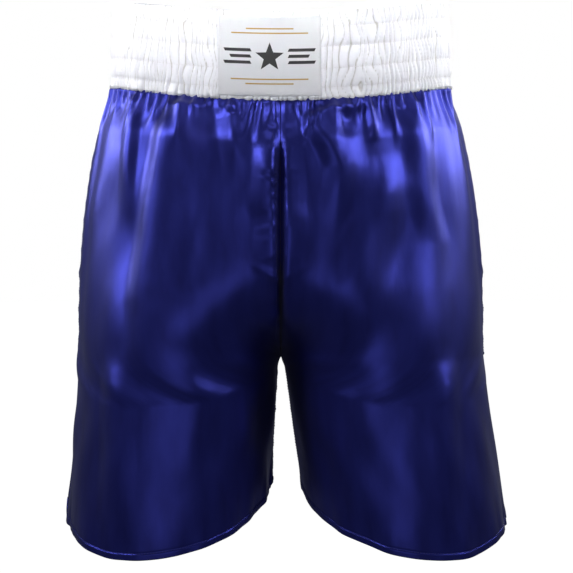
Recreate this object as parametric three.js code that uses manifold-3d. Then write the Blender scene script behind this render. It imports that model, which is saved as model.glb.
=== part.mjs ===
// Boxing shorts with a shirred four-row elastic waistband, wide satin legs and side vents.
//
// Frame: millimetres, +Z up, the wearer faces -Y, so the wearer's left leg is at +X.
// The origin is the middle of the waist opening, level with the top of the waistband at the hips.
// "drop" is the distance down the cloth from the top edge of the waistband.
import * as THREE from "three";
import { mergeVertices } from "three/addons/utils/BufferGeometryUtils.js";
import Module from "manifold-3d";

const wasm = await Module();
wasm.setup();

// ---------- driving dimensions ----------
const sewnGap = 0.3; // between two pieces that touch on the real garment

// The waist: an oval whose front edge sits lower than its sides, as a waistband does on a body.
const waist = { width: 350, depth: 244, frontDip: 20, backRise: 2, dipFadesFrom: 100, dipFadesTo: 300 };

// The waistband: a folded strip of cloth, open at its lower edge, around rows of elastic.
const band = { height: 88, flare: 4, thickness: 5, cloth: 0.9 };
const channelHeights = [15, 20, 22, 19]; // sewn channels from the top edge; the seam allowance is below them
const elastic = { thickness: 1.6, sideClearance: 1.5 };

// The satin panels.
const satin = 1.2; // wall of the cloth, with its seam allowances
const tuck = 8; // how far a panel's top edge goes up into the waistband
const gatherDrop = 26; // from the lower edge of the waistband to where the gathers stand full
const gatherStandOff = { side: 14, front: 12, back: 15 };
const seat = { drop: 290, width: 426, front: 136, back: 148 }; // front and back are depths from the middle
const crotch = { drop: 368, forkFrom: 215, width: 428, front: 126, back: 136, gap: 6 };
const hem = { width: 472, front: 121, back: 127, gap: 44, lean: 8, lowest: 570, inseamRise: 68 };
const hemTurn = { cornerRise: 26, cornerReach: 128, cornerRadius: 18, lowestAt: 0.62, stitchedAt: 7 };
const vent = { top: 368, openingAtHem: 7 };

// The legs swing about a line across the hips, over their own weight, and each panel is parted along an
// arc around that line.
const hip = { behindMiddle: 3.6, outsideSeat: 4, partingAboveInseamHem: 20 };
const partingRadius = Math.max(seat.front, seat.back, crotch.front, crotch.back) + hip.outsideSeat;
const partingDrop = hem.lowest - hem.inseamRise - hip.partingAboveInseamHem; // the arc's lowest point
const hipHeight = partingRadius - partingDrop;

// Labels and threads.
const frontLabel = { width: 104, height: 80, drop: 4.5, offCentre: -11, thickness: 0.9 };
const labelStitchInset = 2.2;
const careLabel = { width: 38, length: 45, thickness: 1, behindBand: 2.5 };
const threadRadius = 0.45;
const threadLift = 0.8; // clears the flat facets of a panel
const bartack = { length: 9, radius: 1.1 };

// How finely curved surfaces are stepped.
const steps = { round: 52, panelAcross: 12, panelDown: 19, threadSides: 4, label: 12, reach: 700 };

const colours = {
  satin: new THREE.Color(0x23259a),
  band: new THREE.Color(0xf1f1f6),
  elastic: new THREE.Color(0xe4e2dc),
  label: new THREE.Color(0xf4f4f8),
  whiteThread: new THREE.Color(0xffffff),
  blueThread: new THREE.Color(0x1b1d78),
};

// ---------- small helpers ----------
const mix = (a, b, t) => a + (b - a) * t;
const clamp01 = (t) => Math.min(1, Math.max(0, t));
const smooth = (t) => clamp01(t) ** 2 * (3 - 2 * clamp01(t));

// A smooth curve through [at, value] stations, flat beyond its ends and wherever two values are the same.
function throughStations(stations, at) {
  const last = stations.length - 1;
  if (at <= stations[0][0]) return stations[0][1];
  if (at >= stations[last][0]) return stations[last][1];
  const i = stations.findIndex(([s]) => s > at) - 1;
  const rise = (k) => (stations[k + 1][1] - stations[k][1]) / (stations[k + 1][0] - stations[k][0]);
  const slope = (k) => {
    if (k === 0 || k === last) return rise(Math.min(k, last - 1));
    return rise(k - 1) * rise(k) <= 0 ? 0 : (rise(k - 1) + rise(k)) / 2;
  };
  const [[s0, v0], [s1, v1]] = [stations[i], stations[i + 1]];
  const [span, t] = [s1 - s0, (at - s0) / (s1 - s0)];
  const [t2, t3] = [t * t, t * t * t];
  return (
    (2 * t3 - 3 * t2 + 1) * v0 +
    (t3 - 2 * t2 + t) * span * slope(i) +
    (3 * t2 - 2 * t3) * v1 +
    (t3 - t2) * span * slope(i + 1)
  );
}

// ---------- the waistband's oval ----------
const waistHalf = (drop) => {
  const flare = (band.flare * Math.min(drop, band.height)) / band.height;
  return { x: waist.width / 2 + flare, y: waist.depth / 2 + flare };
};

// How much the garment's edge lies below (front) or above (back) its level at the sides.
function dip(sine, drop) {
  const fade = 1 - smooth((drop - waist.dipFadesFrom) / (waist.dipFadesTo - waist.dipFadesFrom));
  return (sine < 0 ? -waist.frontDip : waist.backRise) * sine * sine * fade;
}

function bandPoint(angle, drop, offset) {
  const half = waistHalf(drop);
  const [c, s] = [Math.cos(angle), Math.sin(angle)];
  return new THREE.Vector3((half.x + offset) * c, (half.y + offset) * s, -drop + dip(s, drop));
}

// ---------- solids ----------
function geometryOf(points, faces) {
  const made = new THREE.BufferGeometry();
  made.setAttribute("position", new THREE.Float32BufferAttribute(points.flatMap((p) => p.toArray()), 3));
  made.setIndex(faces.flat());
  return made;
}

// A closed section of [offset, drop] points swept all the way round the waist.
function aroundWaist(section) {
  const [points, faces, n] = [[], [], section.length];
  for (let i = 0; i < steps.round; i++) {
    const angle = (2 * Math.PI * i) / steps.round;
    section.forEach(([offset, drop]) => points.push(bandPoint(angle, drop, offset)));
    const next = (i + 1) % steps.round;
    for (let k = 0; k < n; k++) {
      const [a, b] = [i * n + k, i * n + ((k + 1) % n)];
      const [c, d] = [next * n + k, next * n + ((k + 1) % n)];
      faces.push([a, c, b], [b, c, d]);
    }
  }
  return facingOut(geometryOf(points, faces));
}

// A sheet of cloth: surface(u, v) is its outer face, and its wall lies on the inner side.
function sheet(surface, across, down, wall) {
  const [outer, inner, faces] = [[], [], []];
  const step = 1e-3;
  for (let j = 0; j <= down; j++)
    for (let i = 0; i <= across; i++) {
      const [u, v] = [i / across, j / down];
      const alongU = surface(Math.min(u + step, 1), v).sub(surface(Math.max(u - step, 0), v));
      const alongV = surface(u, Math.min(v + step, 1)).sub(surface(u, Math.max(v - step, 0)));
      const normal = alongU.cross(alongV).normalize();
      const point = surface(u, v);
      outer.push(point);
      inner.push(point.clone().addScaledVector(normal, wall));
    }
  const [row, back] = [across + 1, outer.length];
  for (let j = 0; j < down; j++)
    for (let i = 0; i < across; i++) {
      const [a, b, c, d] = [j * row + i, j * row + i + 1, (j + 1) * row + i, (j + 1) * row + i + 1];
      faces.push([a, b, c], [b, d, c], [back + a, back + c, back + b], [back + b, back + c, back + d]);
    }
  const rim = [];
  for (let i = 0; i < across; i++) rim.push(i);
  for (let j = 0; j < down; j++) rim.push(j * row + across);
  for (let i = across; i > 0; i--) rim.push(down * row + i);
  for (let j = down; j > 0; j--) rim.push(j * row);
  rim.forEach((a, k) => {
    const b = rim[(k + 1) % rim.length];
    faces.push([a, back + a, b], [b, back + a, back + b]);
  });
  return facingOut(geometryOf([...outer, ...inner], faces));
}

// Turns a closed surface the right way out.
function facingOut(geometry) {
  const [p, index] = [geometry.getAttribute("position"), geometry.getIndex().array];
  const [a, b, c] = [new THREE.Vector3(), new THREE.Vector3(), new THREE.Vector3()];
  let volume = 0;
  for (let i = 0; i < index.length; i += 3) {
    a.fromBufferAttribute(p, index[i]);
    b.fromBufferAttribute(p, index[i + 1]);
    c.fromBufferAttribute(p, index[i + 2]);
    volume += a.dot(b.cross(c));
  }
  if (volume < 0)
    for (let i = 0; i < index.length; i += 3) [index[i + 1], index[i + 2]] = [index[i + 2], index[i + 1]];
  return geometry;
}

// A round thread along points, closed at both ends.
function threadAlong(points, radius = threadRadius) {
  const path = new THREE.CatmullRomCurve3(points);
  const ring = Array.from({ length: steps.threadSides }, (_, k) => {
    const angle = (2 * Math.PI * k) / steps.threadSides;
    return new THREE.Vector2(radius * Math.cos(angle), radius * Math.sin(angle));
  });
  return new THREE.ExtrudeGeometry(new THREE.Shape(ring), {
    steps: points.length - 1,
    bevelEnabled: false,
    extrudePath: path,
  });
}

function toSolid(geometry) {
  const bare = geometry.index ? geometry.clone() : geometry.toNonIndexed();
  bare.deleteAttribute("normal");
  bare.deleteAttribute("uv");
  const merged = mergeVertices(bare, 1e-4);
  return new wasm.Manifold(
    new wasm.Mesh({
      numProp: 3,
      vertProperties: new Float32Array(merged.getAttribute("position").array),
      triVerts: new Uint32Array(merged.getIndex().array),
    }),
  );
}

function toGeometry(solid) {
  const { vertProperties, triVerts, numProp, numVert } = solid.getMesh();
  const positions = new Float32Array(numVert * 3);
  for (let i = 0; i < numVert; i++)
    positions.set(vertProperties.subarray(i * numProp, i * numProp + 3), i * 3);
  const made = new THREE.BufferGeometry();
  made.setAttribute("position", new THREE.BufferAttribute(positions, 3));
  made.setIndex(new THREE.BufferAttribute(triVerts, 1));
  return made;
}

// ---------- the scene graph ----------
const shorts = new THREE.Group();
shorts.name = "boxing_shorts";

function add(name, geometry, colour, roughness) {
  const material = new THREE.MeshStandardMaterial({ color: colour, roughness, metalness: 0 });
  const mesh = new THREE.Mesh(geometry, material);
  mesh.name = name;
  shorts.add(mesh);
}

// ---------- waistband ----------
const channelEdges = channelHeights.reduce((edges, h) => [...edges, edges.at(-1) + h], [0]);
const hollowMiddle = -band.thickness / 2;

function makeWaistband() {
  const [outer, inner] = [0, -band.thickness];
  add(
    "waistband_cover",
    aroundWaist([
      [outer, 0],
      [outer, band.height],
      [outer - band.cloth, band.height],
      [outer - band.cloth, band.cloth],
      [inner + band.cloth, band.cloth],
      [inner + band.cloth, band.height],
      [inner, band.height],
      [inner, 0],
    ]),
    colours.band,
    0.5,
  );
  channelHeights.forEach((height, i) => {
    const top = channelEdges[i] + (i === 0 ? band.cloth : 0) + elastic.sideClearance;
    const bottom = channelEdges[i + 1] - elastic.sideClearance;
    const [front, back] = [hollowMiddle + elastic.thickness / 2, hollowMiddle - elastic.thickness / 2];
    const section = [[front, top], [front, bottom], [back, bottom], [back, top]];
    add(`elastic_row_${i + 1}`, aroundWaist(section), colours.elastic, 0.9);
  });
}

// A thread round the waist, lying on the outer face of the waistband.
function waistThread(drop, radius = threadRadius) {
  const section = Array.from({ length: steps.threadSides }, (_, k) => {
    const angle = (2 * Math.PI * k) / steps.threadSides;
    return [sewnGap + radius + radius * Math.cos(angle), drop + radius * Math.sin(angle)];
  });
  return aroundWaist(section);
}

function makeWaistbandStitching() {
  channelEdges.slice(1).forEach((drop, i) => {
    add(`waistband_stitch_row_${i + 1}`, waistThread(drop), colours.whiteThread, 0.6);
  });
  add("waist_seam_stitching", waistThread(band.height - 2), colours.whiteThread, 0.6);
}

// ---------- satin panels ----------
const bandEnd = waistHalf(band.height);
const tuckInset = -hollowMiddle - satin / 2; // a panel's top edge runs up the middle of the waistband's hollow

const halfWidths = [
  [band.height - tuck, bandEnd.x - tuckInset],
  [band.height + 2, bandEnd.x - tuckInset],
  [band.height + gatherDrop, bandEnd.x + gatherStandOff.side],
  [mix(band.height + gatherDrop, seat.drop, 0.5), mix(bandEnd.x + gatherStandOff.side, seat.width / 2, 0.75)],
  [seat.drop, seat.width / 2],
  [crotch.drop, crotch.width / 2],
  [hem.lowest, hem.width / 2],
];

const depths = (face) => [
  [band.height - tuck, bandEnd.y - tuckInset],
  [band.height + 2, bandEnd.y - tuckInset],
  [band.height + gatherDrop, bandEnd.y + gatherStandOff[face]],
  [seat.drop, seat[face]],
  [crotch.drop, crotch[face]],
  [hem.lowest, hem[face]],
];

const pastCrotch = (drop) => clamp01((drop - crotch.drop) / (hem.lowest - crotch.drop));

// A point on a panel's outer face. u runs from the middle seam or inseam (0) to the side (1).
function panelPoint(side, face, u, drop) {
  const lower = pastCrotch(drop);
  const half = throughStations(halfWidths, drop);
  const depth = throughStations(depths(face), drop);
  const middle = mix(sewnGap / 2, crotch.gap / 2, clamp01((drop - crotch.drop) / 12)) +
    (lower * (hem.gap - crotch.gap)) / 2;
  const fork = smooth((drop - crotch.forkFrom) / (crotch.drop - crotch.forkFrom));
  const centre = (fork * (half + middle)) / 2;
  const reach = half - centre;
  const slit = sewnGap / 2 + (vent.openingAtHem / 2) * clamp01((drop - vent.top) / (hem.lowest - vent.top));
  const towardsMiddle = Math.max((middle - centre) / reach, -1);
  const atMiddle = Math.min(Math.acos(towardsMiddle), Math.PI - Math.asin(sewnGap / 2 / depth));
  const atSide = Math.asin(slit / depth);
  const angle = mix(atMiddle, atSide, u);
  const sine = Math.sin(angle) * (face === "front" ? -1 : 1);
  return new THREE.Vector3(
    side * (centre + reach * Math.cos(angle)) + hem.lean * lower,
    depth * sine,
    -drop + dip(sine, drop),
  );
}

// The drop of a panel's hem: short at the inseam, longest over the thigh, swept up to a rounded corner at the side vent.
function hemDrop(u, face) {
  const base = mix(hem.lowest - hem.inseamRise, hem.lowest, Math.sin((Math.min(u / hemTurn.lowestAt, 1) * Math.PI) / 2));
  const halfRound = (Math.PI / 2) * (hem[face] + (hem.width - hem.gap) / 4);
  const fromSide = (1 - u) * halfRound;
  const sweep = (hemTurn.cornerRise * (1 + Math.cos(Math.PI * Math.min(fromSide / hemTurn.cornerReach, 1)))) / 2;
  const r = hemTurn.cornerRadius;
  const corner = fromSide >= r ? 0 : r - Math.sqrt(r * r - (r - fromSide) ** 2);
  return base - sweep - corner;
}

// The drop of a panel's rows: close together through the gathers, then evenly down to the hem.
const gatherRows = [-tuck, 2, 8, 14, 20, gatherDrop].map((below) => band.height + below);

function panelDrop(u, face, v) {
  const [row, last] = [v * steps.panelDown, gatherRows.length - 1];
  if (row >= last) return mix(gatherRows[last], hemDrop(u, face), (row - last) / (steps.panelDown - last));
  return mix(gatherRows[Math.floor(row)], gatherRows[Math.floor(row) + 1], row % 1);
}

const sides = { left: 1, right: -1 };
const faces = ["front", "back"];

// What lies above the parting arc, with a margin in millimetres on its radius.
function abovePartingArc(margin) {
  const drum = new THREE.CylinderGeometry(
    partingRadius + margin,
    partingRadius + margin,
    2 * steps.reach,
    2 * steps.round,
  );
  drum.rotateZ(Math.PI / 2).translate(0, hip.behindMiddle, hipHeight);
  const block = new THREE.BoxGeometry(2 * steps.reach, 2 * steps.reach, steps.reach);
  block.translate(0, 0, hipHeight + steps.reach / 2);
  return toSolid(drum).add(toSolid(block));
}

function makePanels() {
  const upperSpace = abovePartingArc(-sewnGap / 2);
  const lowerSpace = abovePartingArc(sewnGap / 2);
  for (const [sideName, side] of Object.entries(sides))
    for (const face of faces) {
      const surface = (u, v) => panelPoint(side, face, u, panelDrop(u, face, v));
      const facing = side * (face === "front" ? 1 : -1);
      const whole = toSolid(sheet(surface, steps.panelAcross, steps.panelDown, facing * satin));
      add(`${face}_${sideName}_panel`, toGeometry(whole.intersect(upperSpace)), colours.satin, 0.35);
      add(`${face}_${sideName}_panel_leg`, toGeometry(whole.subtract(lowerSpace)), colours.satin, 0.35);
    }
}

// A point off a panel's outer face, where a thread of that radius lies.
function threadPoint(side, face, u, drop, radius = threadRadius) {
  const step = 1e-3;
  const [u0, u1] = [Math.max(u - step, 0), Math.min(u + step, 1)];
  const alongU = panelPoint(side, face, u1, drop).sub(panelPoint(side, face, u0, drop));
  const alongV = panelPoint(side, face, u, drop + step).sub(panelPoint(side, face, u, drop - step));
  const normal = alongU.cross(alongV).normalize();
  const outward = side * (face === "front" ? -1 : 1);
  return panelPoint(side, face, u, drop).addScaledVector(normal, outward * (threadLift + radius));
}

const spread = (from, to, count) => Array.from({ length: count }, (_, i) => mix(from, to, i / (count - 1)));

function makeSeamStitching() {
  const below = band.height + gatherDrop;
  for (const face of faces) {
    const seam = spread(below, crotch.drop - 42, 20).map((drop) => threadPoint(-1, face, 0.025, drop));
    add(`${face}_centre_seam_stitching`, threadAlong(seam), colours.blueThread, 0.5);
  }
  for (const [sideName, side] of Object.entries(sides)) {
    const sideSeam = spread(below, vent.top - 4, 20).map((drop) => threadPoint(side, "front", 0.98, drop));
    add(`${sideName}_side_seam_stitching`, threadAlong(sideSeam), colours.blueThread, 0.5);
    const inseam = spread(crotch.drop + 16, partingDrop - 4, 8).map((drop) => threadPoint(side, "front", 0.03, drop));
    add(`${sideName}_inseam_stitching`, threadAlong(inseam), colours.blueThread, 0.5);
    const across = spread(-bartack.length / 2, bartack.length / 2, 3).map((y) => {
      const face = y < 0 ? "front" : "back";
      const point = threadPoint(side, face, 1, vent.top - 2, bartack.radius);
      return point.setY(y);
    });
    add(`${sideName}_vent_bartack`, threadAlong(across, bartack.radius), colours.blueThread, 0.5);
    for (const face of faces) {
      const line = spread(0.03, 0.9, 22).map((u) =>
        threadPoint(side, face, u, hemDrop(u, face) - hemTurn.stitchedAt),
      );
      add(`${face}_${sideName}_hem_stitching`, threadAlong(line), colours.blueThread, 0.5);
    }
  }
}

// ---------- labels ----------
// The front label follows the waistband's curve; x is measured across the garment.
function frontLabelPoint(x, drop, offset) {
  const angle = -Math.acos(x / (waistHalf(drop).x + offset));
  return bandPoint(angle, drop, offset);
}

function makeFrontLabel() {
  const clear = 2 * sewnGap + 2 * threadRadius; // the label lies over the waistband's stitch rows
  const [face, left] = [clear + frontLabel.thickness, frontLabel.offCentre - frontLabel.width / 2];
  const surface = (u, v) =>
    frontLabelPoint(left + u * frontLabel.width, frontLabel.drop + v * frontLabel.height, face);
  add("front_label", sheet(surface, steps.label, 6, frontLabel.thickness), colours.label, 0.6);

  const [over, inset] = [face + sewnGap + threadRadius, labelStitchInset];
  const corner = (u, v) => {
    const x = left + mix(inset, frontLabel.width - inset, u);
    return frontLabelPoint(x, frontLabel.drop + mix(inset, frontLabel.height - inset, v), over);
  };
  const edge = [
    ...spread(0, 1, steps.label).map((u) => corner(u, 0)),
    ...spread(0.1, 1, 6).map((v) => corner(1, v)),
    ...spread(0.93, 0, steps.label).map((u) => corner(u, 1)),
    ...spread(0.9, 0.08, 6).map((v) => corner(0, v)),
  ];
  add("front_label_stitching", threadAlong(edge), colours.whiteThread, 0.6);
}

// The care label hangs free from the inside of the waistband, at the middle of the back.
const careLabelHinge = {
  y: waistHalf(band.height).y - band.thickness - careLabel.behindBand,
  z: -band.height + waist.backRise,
};

function makeCareLabel() {
  const tag = new THREE.BoxGeometry(careLabel.width, careLabel.thickness, careLabel.length);
  tag.translate(0, careLabelHinge.y, careLabelHinge.z - careLabel.length / 2 - careLabel.thickness);
  add("care_label", tag, colours.label, 0.7);
}

makeWaistband();
makeWaistbandStitching();
makePanels();
makeSeamStitching();
makeFrontLabel();
makeCareLabel();

export default shorts;
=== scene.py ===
# Satin boxing shorts: gathered panels, a shirred waistband, a woven label and their stitching.
# Metres, +Z up, the wearer faces -Y and the wearer's left leg is at +X.
import bpy, math
import numpy as np
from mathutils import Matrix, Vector


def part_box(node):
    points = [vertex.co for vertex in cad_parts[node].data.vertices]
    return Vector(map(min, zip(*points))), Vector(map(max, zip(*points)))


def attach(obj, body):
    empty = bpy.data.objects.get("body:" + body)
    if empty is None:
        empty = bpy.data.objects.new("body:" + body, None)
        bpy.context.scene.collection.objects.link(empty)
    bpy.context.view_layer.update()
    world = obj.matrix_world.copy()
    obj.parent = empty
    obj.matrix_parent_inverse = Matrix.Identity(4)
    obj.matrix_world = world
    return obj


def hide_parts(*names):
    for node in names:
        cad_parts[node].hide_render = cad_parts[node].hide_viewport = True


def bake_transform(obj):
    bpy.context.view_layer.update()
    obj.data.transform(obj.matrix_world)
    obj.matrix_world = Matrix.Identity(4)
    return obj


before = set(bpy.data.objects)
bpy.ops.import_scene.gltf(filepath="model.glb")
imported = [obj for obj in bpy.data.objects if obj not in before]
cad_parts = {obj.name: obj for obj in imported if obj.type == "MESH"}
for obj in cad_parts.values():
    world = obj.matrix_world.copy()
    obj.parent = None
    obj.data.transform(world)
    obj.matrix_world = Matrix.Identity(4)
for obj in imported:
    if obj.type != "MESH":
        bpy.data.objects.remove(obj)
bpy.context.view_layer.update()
print("frame loaded")
bpy.ops.object.select_all(action="DESELECT")

mm = 0.001
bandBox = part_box("waistband_cover")
sideNames = {1: "left", -1: "right"}


# small helpers

def mix(a, b, t):
    return a + (b - a) * t


def smooth(t):
    t = np.clip(t, 0, 1)
    return t * t * (3 - 2 * t)


def through(stations, at):
    # a smooth curve through (at, value) stations, level where two values are the same
    xs = np.array([s[0] for s in stations], float)
    ys = np.array([s[1] for s in stations], float)
    rise = np.diff(ys) / np.diff(xs)
    inner = np.where(rise[:-1] * rise[1:] <= 0, 0, (rise[:-1] + rise[1:]) / 2)
    slope = np.concatenate([[rise[0]], inner, [rise[-1]]])
    at = np.clip(np.asarray(at, float), xs[0], xs[-1])
    i = np.clip(np.searchsorted(xs, at, side="right") - 1, 0, len(xs) - 2)
    span = xs[i + 1] - xs[i]
    t = (at - xs[i]) / span
    t2, t3 = t * t, t * t * t
    return ((2 * t3 - 3 * t2 + 1) * ys[i] + (t3 - 2 * t2 + t) * span * slope[i]
            + (3 * t2 - 2 * t3) * ys[i + 1] + (t3 - t2) * span * slope[i + 1])


def wander(seed, size, loops):
    # smooth seeded noise from -1 to 1 around a loop of that many samples
    r = np.random.default_rng(seed)
    knots = r.uniform(-1, 1, loops)
    at = np.arange(size) / size * loops
    i = at.astype(int)
    t = smooth(at - i)
    return mix(knots[i % loops], knots[(i + 1) % loops], t)


def gridFaces(rows, cols, loop=False):
    # quads of a grid whose points are stored row by row
    r = np.arange(rows - 1)[:, None]
    c = np.arange(cols if loop else cols - 1)[None, :]
    n = (c + 1) % cols
    return np.stack([r * cols + c, (r + 1) * cols + c, (r + 1) * cols + n, r * cols + n], -1).reshape(-1, 4)


def newMesh(name, verts, faces):
    mesh = bpy.data.meshes.new(name)
    faces = faces.tolist() if hasattr(faces, "tolist") else faces
    mesh.from_pydata(np.asarray(verts).reshape(-1, 3).tolist(), [], faces)
    mesh.validate()
    obj = bpy.data.objects.new(name, mesh)
    bpy.context.collection.objects.link(obj)
    mesh.shade_smooth()
    return obj


def pickOnly(obj):
    bpy.ops.object.select_all(action="DESELECT")
    obj.select_set(True)
    bpy.context.view_layer.objects.active = obj


def applyModifiers(obj):
    pickOnly(obj)
    for m in list(obj.modifiers):
        bpy.ops.object.modifier_apply(modifier=m.name)


def putMaterial(obj, material):
    obj.data.materials.clear()
    obj.data.materials.append(material)


def surfaceNormals(points):
    # unit normals of a grid of points [rows, cols, 3]
    du = np.gradient(points, axis=1)
    dv = np.gradient(points, axis=0)
    n = np.cross(du, dv)
    return n / np.maximum(np.linalg.norm(n, axis=-1, keepdims=True), 1e-12)


def outwardNormals(points, face):
    # a panel's normals, turned away from the wearer
    n = surfaceNormals(points)
    return n * np.sign((n[..., 1] * (-1 if face == "front" else 1)).mean())


def lengthAlong(points):
    # how far each point of a grid lies along its row
    step = np.linalg.norm(np.diff(points, axis=1), axis=-1)
    return np.concatenate([np.zeros((len(points), 1)), np.cumsum(step, axis=1)], axis=1)


def unwrap(obj, flat):
    # a UV map named cloth, from each vertex's flat place in metres
    uv = obj.data.uv_layers.new(name="cloth")
    corner = np.empty(len(obj.data.loops), int)
    obj.data.loops.foreach_get("vertex_index", corner)
    uv.data.foreach_set("uv", flat.reshape(-1, 2)[corner].ravel())


def giveThickness(obj, name, thickness, offset=-1):
    solid = obj.modifiers.new(name, "SOLIDIFY")
    solid.thickness = thickness
    solid.offset = offset


# the garment's form, close to the frame's

bandEnd = {"x": bandBox[1].x, "y": bandBox[1].y}
cut = {
    "bandHeight": 88 * mm, "bandFlare": 4 * mm, "bandThickness": 5 * mm,
    "frontDip": 20 * mm, "backRise": 2 * mm, "dipFades": (100 * mm, 300 * mm),
    "tuck": 8 * mm, "tuckInset": 1.9 * mm, "gatherDrop": 44 * mm,
    "standOff": {"side": 14 * mm, "front": 12 * mm, "back": 15 * mm},
    "seat": {"drop": 290 * mm, "width": 426 * mm, "front": 136 * mm, "back": 148 * mm},
    "crotch": {"drop": 368 * mm, "forkFrom": 215 * mm, "width": 428 * mm, "front": 126 * mm, "back": 136 * mm,
               "gap": 6 * mm, "opensOver": 12 * mm},
    "hem": {"width": 472 * mm, "front": 121 * mm, "back": 127 * mm, "gap": 44 * mm, "lean": 8 * mm,
            "lowest": 570 * mm, "inseamRise": 68 * mm, "cornerRise": 26 * mm, "cornerReach": 128 * mm,
            "corner": 18 * mm, "lowestAt": 0.62},
    "vent": {"top": 368 * mm, "atHem": 16 * mm},
}
seat, crotch, hem, vent = cut["seat"], cut["crotch"], cut["hem"], cut["vent"]
channelDrops = [0, 15 * mm, 35 * mm, 57 * mm, 76 * mm]  # top edge, then each stitch row


def dip(sine, drop):
    # how far the edge lies below its level at the sides
    a, b = cut["dipFades"]
    fade = 1 - smooth((drop - a) / (b - a))
    return np.where(sine < 0, -cut["frontDip"], cut["backRise"]) * sine * sine * fade


def bandPoint(angle, drop, offset):
    flare = cut["bandFlare"] * (np.minimum(drop, cut["bandHeight"]) / cut["bandHeight"] - 1)
    c, s = np.cos(angle), np.sin(angle)
    x = (bandEnd["x"] + flare + offset) * c
    y = (bandEnd["y"] + flare + offset) * s
    return np.stack(np.broadcast_arrays(x, y, -drop + dip(s, drop)), -1)


gathersEnd = cut["bandHeight"] + cut["gatherDrop"]
gatheredHalf = bandEnd["x"] + cut["standOff"]["side"]
halfWidths = [
    (cut["bandHeight"] - cut["tuck"], bandEnd["x"] - cut["tuckInset"]),
    (cut["bandHeight"] + 2 * mm, bandEnd["x"] - cut["tuckInset"]),
    (gathersEnd, gatheredHalf),
    (mix(gathersEnd, seat["drop"], 0.5), mix(gatheredHalf, seat["width"] / 2, 0.75)),
    (seat["drop"], seat["width"] / 2),
    (crotch["drop"], crotch["width"] / 2),
    (hem["lowest"], hem["width"] / 2),
]


def depths(face):
    return [
        (cut["bandHeight"] - cut["tuck"], bandEnd["y"] - cut["tuckInset"]),
        (cut["bandHeight"] + 2 * mm, bandEnd["y"] - cut["tuckInset"]),
        (gathersEnd, bandEnd["y"] + cut["standOff"][face]),
        (seat["drop"], seat[face]),
        (crotch["drop"], crotch[face]),
        (hem["lowest"], hem[face]),
    ]


def hemDrop(u, face):
    fallen = np.sin(np.minimum(u / hem["lowestAt"], 1) * math.pi / 2)
    base = mix(hem["lowest"] - hem["inseamRise"], hem["lowest"], fallen)
    halfRound = math.pi / 2 * (hem[face] + (hem["width"] - hem["gap"]) / 4)
    fromSide = (1 - u) * halfRound
    sweep = hem["cornerRise"] * (1 + np.cos(math.pi * np.minimum(fromSide / hem["cornerReach"], 1))) / 2
    r = hem["corner"]
    corner = r - np.sqrt(np.maximum(r * r - (r - np.minimum(fromSide, r)) ** 2, 0))
    return base - sweep - corner


def panelPoint(side, face, u, drop):
    # u runs from the middle seam or inseam (0) to the side (1)
    lower = np.clip((drop - crotch["drop"]) / (hem["lowest"] - crotch["drop"]), 0, 1)
    half, depth = through(halfWidths, drop), through(depths(face), drop)
    middle = crotch["gap"] / 2 * np.clip((drop - crotch["drop"]) / crotch["opensOver"], 0, 1) \
        + lower * (hem["gap"] - crotch["gap"]) / 2
    fork = smooth((drop - crotch["forkFrom"]) / (crotch["drop"] - crotch["forkFrom"]))
    centre = fork * (half + middle) / 2
    reach = half - centre
    slit = vent["atHem"] / 2 * np.clip((drop - vent["top"]) / (hem["lowest"] - vent["top"]), 0, 1)
    atMiddle = np.arccos(np.maximum((middle - centre) / reach, -1))
    angle = mix(atMiddle, np.arcsin(slit / depth), u)
    sine = np.sin(angle) * (-1 if face == "front" else 1)
    x = side * (centre + reach * np.cos(angle)) + hem["lean"] * lower
    return np.stack([x, depth * sine, -drop + dip(sine, drop)], -1)


# folds of the satin
# The crest of each fold follows points of (drop, x) across the front. left and right are how far
# its two flanks reach, and height is how far the crest stands out.

frontFolds = [
    # the wearer's right half
    {"path": [(84, -142), (96, -146), (112, -150), (138, -154), (170, -156)],
     "height": 5, "left": 17, "right": 13, "ends": 235},
    {"path": [(84, -98), (96, -99), (106, -104), (116, -110),
              (138, -116), (195, -126), (233, -132), (275, -140)],
     "height": 12, "left": 25, "right": 47, "ends": 400},
    {"path": [(84, -44), (96, -48), (112, -47), (138, -44), (160, -42)],
     "height": 6, "left": 20, "right": 18, "ends": 190},
    {"path": [(84, -14), (112, -12), (165, -12), (195, -10), (215, -4), (260, -3)],
     "height": 10, "left": 32, "right": 44, "ends": 380, "starts": 108},
    # the wearer's left half
    {"path": [(84, 56), (94, 52), (106, 40), (114, 38), (128, 48), (140, 55), (155, 60), (180, 58)],
     "height": 9, "left": 22, "right": 42, "ends": 265},
    {"path": [(84, 84), (96, 88), (112, 92)], "height": 4, "left": 9, "right": 10, "ends": 135},
    {"path": [(170, 106), (195, 102), (212, 96), (240, 84), (275, 72), (307, 64), (340, 58)],
     "height": 6.5, "left": 36, "right": 42, "ends": 420, "starts": 145},
    {"path": [(84, 132), (112, 136), (140, 142), (180, 146), (225, 160)],
     "height": 5, "left": 26, "right": 24, "ends": 320},
    {"path": [(280, 6), (310, 8), (340, 10)],
     "height": 3.5, "left": 14, "right": 16, "ends": 380, "starts": 240},
    # the legs
    {"path": [(330, -92), (400, -84), (470, -66)],
     "height": 3, "left": 40, "right": 34, "ends": 560, "starts": 300},
    {"path": [(360, 96), (440, 70), (520, 74)],
     "height": 3, "left": 36, "right": 40, "ends": 580, "starts": 330},
    {"path": [(400, 168), (500, 172)], "height": 4, "left": 30, "right": 26, "ends": 585, "starts": 350},
    {"path": [(400, -168), (500, -172)], "height": 4, "left": 26, "right": 30, "ends": 585, "starts": 350},
]

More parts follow.
